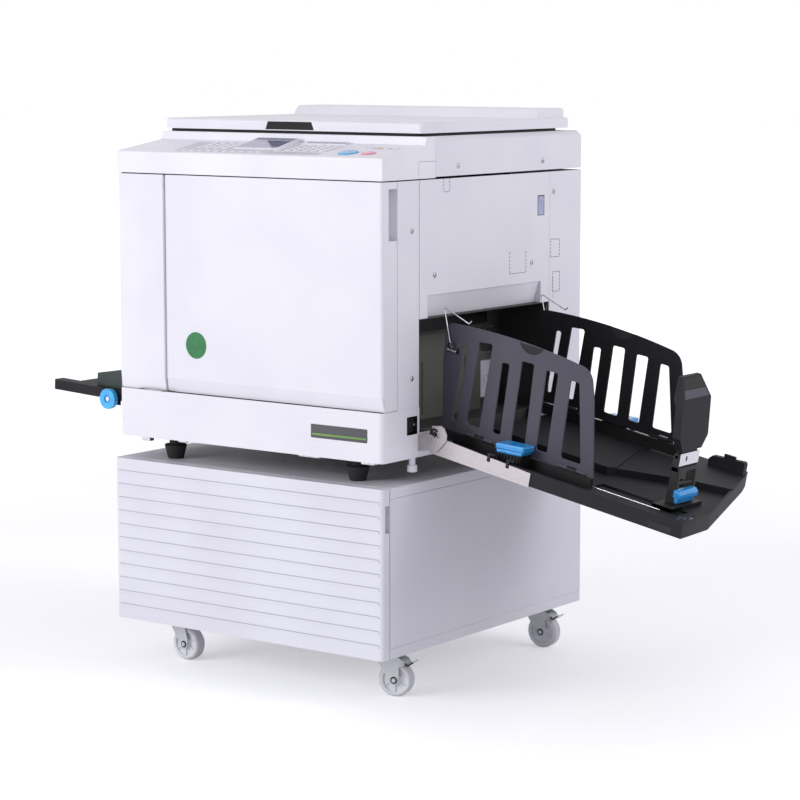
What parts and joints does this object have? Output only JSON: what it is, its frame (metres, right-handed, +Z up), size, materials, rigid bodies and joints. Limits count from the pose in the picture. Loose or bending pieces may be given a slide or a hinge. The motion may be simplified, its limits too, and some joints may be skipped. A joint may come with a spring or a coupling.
{
  "type": "digital duplicator",
  "caption": "Floor-standing stencil duplicator on a wheeled cabinet, with hinged original cover, front cover and cabinet door, paper feed tray and receiving tray with folding side guides.",
  "frame": {"origin": "on the floor under the middle of the cabinet", "axes": "+X towards the receiving tray on the right, +Y to the back, +Z up"},
  "size_m": [1.5204, 0.667, 1.065],
  "materials": {
    "cabinet_panel_laminate": "smooth",
    "zinc_steel": "zinc plated",
    "caster_tread": "matt pale grey",
    "black_plastic": "fine texture",
    "foot_rubber": "matt",
    "cover_plastic": "fine texture, off-white",
    "key_plastic": "satin",
    "screen_glass": "gloss",
    "start_blue": "satin",
    "stop_red": "satin",
    "platen_glass": "clear",
    "dark_plastic": "fine texture, dark grey",
    "dial_blue": "satin",
    "bracket_metal": "satin",
    "drum_mesh": "perforated look",
    "roller_rubber": "matt",
    "cartridge_plastic": "satin"
  },
  "bodies": {
    "root": {"cabinet_top": "cabinet_panel_laminate", "cabinet_base": "cabinet_panel_laminate", "cabinet_panels": "cabinet_panel_laminate", "hinge_leaves": "zinc_steel", "caster_plates": "zinc_steel", "rubber_feet": "foot_rubber", "base_skirt": "cover_plastic", "mains_inlet": "black_plastic", "front_left_pillar": "cover_plastic", "front_right_pillar": "cover_plastic", "right_side_panel": "cover_plastic", "left_side_panel": "cover_plastic", "rear_cover": "cover_plastic", "cover_screws": "zinc_steel", "scanner_housing": "cover_plastic", "platen_glass": "platen_glass", "control_panel": "cover_plastic", "panel_keys": "key_plastic", "display_screens": "screen_glass", "outlet_chamber": "dark_plastic", "frame_plates": "zinc_steel", "ink_cartridge": "cartridge_plastic", "tray_brackets": "bracket_metal"},
    "cabinet_door": {"cabinet_door": "cabinet_panel_laminate"},
    "front_cover": {"front_cover": "cover_plastic"},
    "original_cover": {"original_cover": "cover_plastic", "cover_pad": "cover_plastic"},
    "power_switch": {"power_switch": "black_plastic"},
    "start_key": {"start_key": "start_blue"},
    "stop_key": {"stop_key": "stop_red"},
    "scan_carriage": {"scan_carriage": "black_plastic"},
    "print_drum": {"print_drum": "drum_mesh"},
    "pressure_roller": {"pressure_roller": "roller_rubber"},
    "feed_roller": {"feed_roller": "roller_rubber"},
    "feed_elevator": {"feed_elevator": "black_plastic"},
    "feed_tray": {"feed_tray": "dark_plastic"},
    "feed_guide_front": {"feed_guide_front": "dark_plastic"},
    "feed_guide_rear": {"feed_guide_rear": "dark_plastic"},
    "position_dial": {"position_dial": "dial_blue"},
    "receiving_tray": {"receiving_tray": "dark_plastic", "tray_arms": "bracket_metal"},
    "guide_base_front": {"guide_base_front": "dark_plastic"},
    "guide_base_rear": {"guide_base_rear": "dark_plastic"},
    "guide_wall_front": {"guide_wall_front": "dark_plastic"},
    "guide_wall_rear": {"guide_wall_rear": "dark_plastic"},
    "sheet_wire_front": {"sheet_wire_front": "zinc_steel"},
    "sheet_wire_rear": {"sheet_wire_rear": "zinc_steel"},
    "stopper_post": {"stopper_post": "dark_plastic"},
    "stopper_hood": {"stopper_hood": "dark_plastic"},
    "caster_fork_front_left": {"caster_fork_front_left": "zinc_steel"},
    "caster_wheel_front_left": {"caster_wheel_front_left": "caster_tread"},
    "caster_fork_front_right": {"caster_fork_front_right": "zinc_steel"},
    "caster_wheel_front_right": {"caster_wheel_front_right": "caster_tread"},
    "brake_lever_front_right": {"brake_lever_front_right": "black_plastic"},
    "caster_fork_rear_right": {"caster_fork_rear_right": "zinc_steel"},
    "caster_wheel_rear_right": {"caster_wheel_rear_right": "caster_tread"},
    "brake_lever_rear_right": {"brake_lever_rear_right": "black_plastic"},
    "caster_fork_rear_left": {"caster_fork_rear_left": "zinc_steel"},
    "caster_wheel_rear_left": {"caster_wheel_rear_left": "caster_tread"}
  },
  "joints": [
    {"name": "swivel_front_left", "type": "hinge", "parent": "root", "child": "caster_fork_front_left", "pos_m": [-0.2493, -0.231, 0.08], "axis": [0, 0, 1], "continuous": true},
    {"name": "wheel_spin_front_left", "type": "hinge", "parent": "caster_fork_front_left", "child": "caster_wheel_front_left", "pos_m": [-0.2253, -0.231, 0.032], "axis": [0, 1, 0], "continuous": true},
    {"name": "swivel_front_right", "type": "hinge", "parent": "root", "child": "caster_fork_front_right", "pos_m": [0.2493, -0.231, 0.08], "axis": [0, 0, 1], "continuous": true},
    {"name": "wheel_spin_front_right", "type": "hinge", "parent": "caster_fork_front_right", "child": "caster_wheel_front_right", "pos_m": [0.27237, -0.22439, 0.032], "axis": [-0.2756, 0.9613, 0], "continuous": true},
    {"name": "brake_front_right", "type": "hinge", "parent": "caster_fork_front_right", "child": "brake_lever_front_right", "pos_m": [0.28967, -0.21942, 0.064], "axis": [-0.2756, 0.9613, 0], "range_deg": [0, 12]},
    {"name": "swivel_rear_right", "type": "hinge", "parent": "root", "child": "caster_fork_rear_right", "pos_m": [0.2493, 0.2666, 0.08], "axis": [0, 0, 1], "continuous": true},
    {"name": "wheel_spin_rear_right", "type": "hinge", "parent": "caster_fork_rear_right", "child": "caster_wheel_rear_right", "pos_m": [0.27324, 0.26827, 0.032], "axis": [-0.0698, 0.9976, 0], "continuous": true},
    {"name": "brake_rear_right", "type": "hinge", "parent": "caster_fork_rear_right", "child": "brake_lever_rear_right", "pos_m": [0.2912, 0.26953, 0.064], "axis": [-0.0698, 0.9976, 0], "range_deg": [0, 12]},
    {"name": "swivel_rear_left", "type": "hinge", "parent": "root", "child": "caster_fork_rear_left", "pos_m": [-0.2493, 0.2666, 0.08], "axis": [0, 0, 1], "continuous": true},
    {"name": "wheel_spin_rear_left", "type": "hinge", "parent": "caster_fork_rear_left", "child": "caster_wheel_rear_left", "pos_m": [-0.22553, 0.26326, 0.032], "axis": [0.1392, 0.9903, 0], "continuous": true},
    {"name": "cabinet_door_hinge", "type": "hinge", "parent": "root", "child": "cabinet_door", "pos_m": [-0.31125, -0.32425, 0.246], "axis": [0, 0, -1], "range_deg": [0, 100]},
    {"name": "front_cover_hinge", "type": "hinge", "parent": "root", "child": "front_cover", "pos_m": [-0.187, -0.3155, 0.742], "axis": [0, 0, -1], "range_deg": [0, 100]},
    {"name": "original_cover_hinge", "type": "hinge", "parent": "root", "child": "original_cover", "pos_m": [0, 0.29, 1.037], "axis": [-1, 0, 0], "range_deg": [0, 65]},
    {"name": "power_rocker", "type": "hinge", "parent": "root", "child": "power_switch", "pos_m": [0.306, -0.234, 0.5055], "axis": [0, -1, 0], "range_deg": [0, 12]},
    {"name": "start_key_press", "type": "slide", "parent": "root", "child": "start_key", "axis": [0, 0.1463, -0.9892], "range_m": [0, 0.0015], "stiffness_N_per_m": 400, "springref_m": -0.001},
    {"name": "stop_key_press", "type": "slide", "parent": "root", "child": "stop_key", "axis": [0, 0.1463, -0.9892], "range_m": [0, 0.0015], "stiffness_N_per_m": 400, "springref_m": -0.001},
    {"name": "scan_travel", "type": "slide", "parent": "root", "child": "scan_carriage", "axis": [1, 0, 0], "range_m": [0, 0.42]},
    {"name": "drum_spin", "type": "hinge", "parent": "root", "child": "print_drum", "pos_m": [-0.02, 0, 0.772], "axis": [0, 1, 0], "continuous": true},
    {"name": "pressure_roller_spin", "type": "hinge", "parent": "root", "child": "pressure_roller", "pos_m": [-0.02, 0, 0.6524], "axis": [0, 1, 0], "continuous": true},
    {"name": "feed_roller_spin", "type": "hinge", "parent": "root", "child": "feed_roller", "pos_m": [-0.238, 0, 0.69], "axis": [0, 1, 0], "continuous": true},
    {"name": "feed_lift", "type": "slide", "parent": "root", "child": "feed_elevator", "axis": [0, 0, 1], "range_m": [0, 0.07]},
    {"name": "feed_tray_fold", "type": "hinge", "parent": "feed_elevator", "child": "feed_tray", "pos_m": [-0.364, 0, 0.489], "axis": [0, 1, 0], "range_deg": [0, 88]},
    {"name": "feed_guide_front_slide", "type": "slide", "parent": "feed_tray", "child": "feed_guide_front", "axis": [0, 1, 0], "range_m": [0, 0.075]},
    {"name": "feed_guide_rear_slide", "type": "slide", "parent": "feed_tray", "child": "feed_guide_rear", "axis": [0, -1, 0], "range_m": [0, 0.075]},
    {"name": "position_dial_turn", "type": "hinge", "parent": "feed_tray", "child": "position_dial", "pos_m": [-0.49355, -0.158, 0.48272], "axis": [0, 1, 0], "range_deg": [-120, 120]},
    {"name": "receiving_tray_raise", "type": "hinge", "parent": "root", "child": "receiving_tray", "pos_m": [0.347, 0, 0.49], "axis": [0, -1, 0], "range_deg": [0, 36]},
    {"name": "guide_front_slide", "type": "slide", "parent": "receiving_tray", "child": "guide_base_front", "axis": [0, -1, 0], "range_m": [-0.085, 0]},
    {"name": "guide_rear_slide", "type": "slide", "parent": "receiving_tray", "child": "guide_base_rear", "axis": [0, 1, 0], "range_m": [-0.085, 0]},
    {"name": "guide_front_fold", "type": "hinge", "parent": "guide_base_front", "child": "guide_wall_front", "pos_m": [0.49482, -0.155, 0.46432], "axis": [-0.9816, 0, 0.1908], "range_deg": [0, 90]},
    {"name": "guide_rear_fold", "type": "hinge", "parent": "guide_base_rear", "child": "guide_wall_rear", "pos_m": [0.49844, 0.152, 0.48297], "axis": [0.9816, 0, -0.1908], "range_deg": [0, 90]},
    {"name": "wire_front_swing", "type": "hinge", "parent": "guide_wall_front", "child": "sheet_wire_front", "pos_m": [0.35026, -0.1613, 0.64829], "axis": [0, 1, 0], "range_deg": [0, 108]},
    {"name": "wire_rear_swing", "type": "hinge", "parent": "guide_wall_rear", "child": "sheet_wire_rear", "pos_m": [0.35026, 0.1583, 0.64829], "axis": [0, 1, 0], "range_deg": [0, 108]},
    {"name": "stopper_slide", "type": "slide", "parent": "receiving_tray", "child": "stopper_post", "axis": [0.9816, 0, -0.1908], "range_m": [-0.08, 0]},
    {"name": "stopper_hood_fold", "type": "hinge", "parent": "stopper_post", "child": "stopper_hood", "pos_m": [0.79069, -0.078, 0.4771], "axis": [0, -1, 0], "range_deg": [0, 90]}
  ],
  "couplings": [
    {"joint": "pressure_roller_spin", "follows": "drum_spin", "ratio": -2.9667},
    {"joint": "feed_guide_rear_slide", "follows": "feed_guide_front_slide", "ratio": 1},
    {"joint": "guide_rear_slide", "follows": "guide_front_slide", "ratio": 1},
    {"joint": "wire_front_swing", "follows": "receiving_tray_raise", "ratio": 3},
    {"joint": "wire_rear_swing", "follows": "receiving_tray_raise", "ratio": 3}
  ]
}
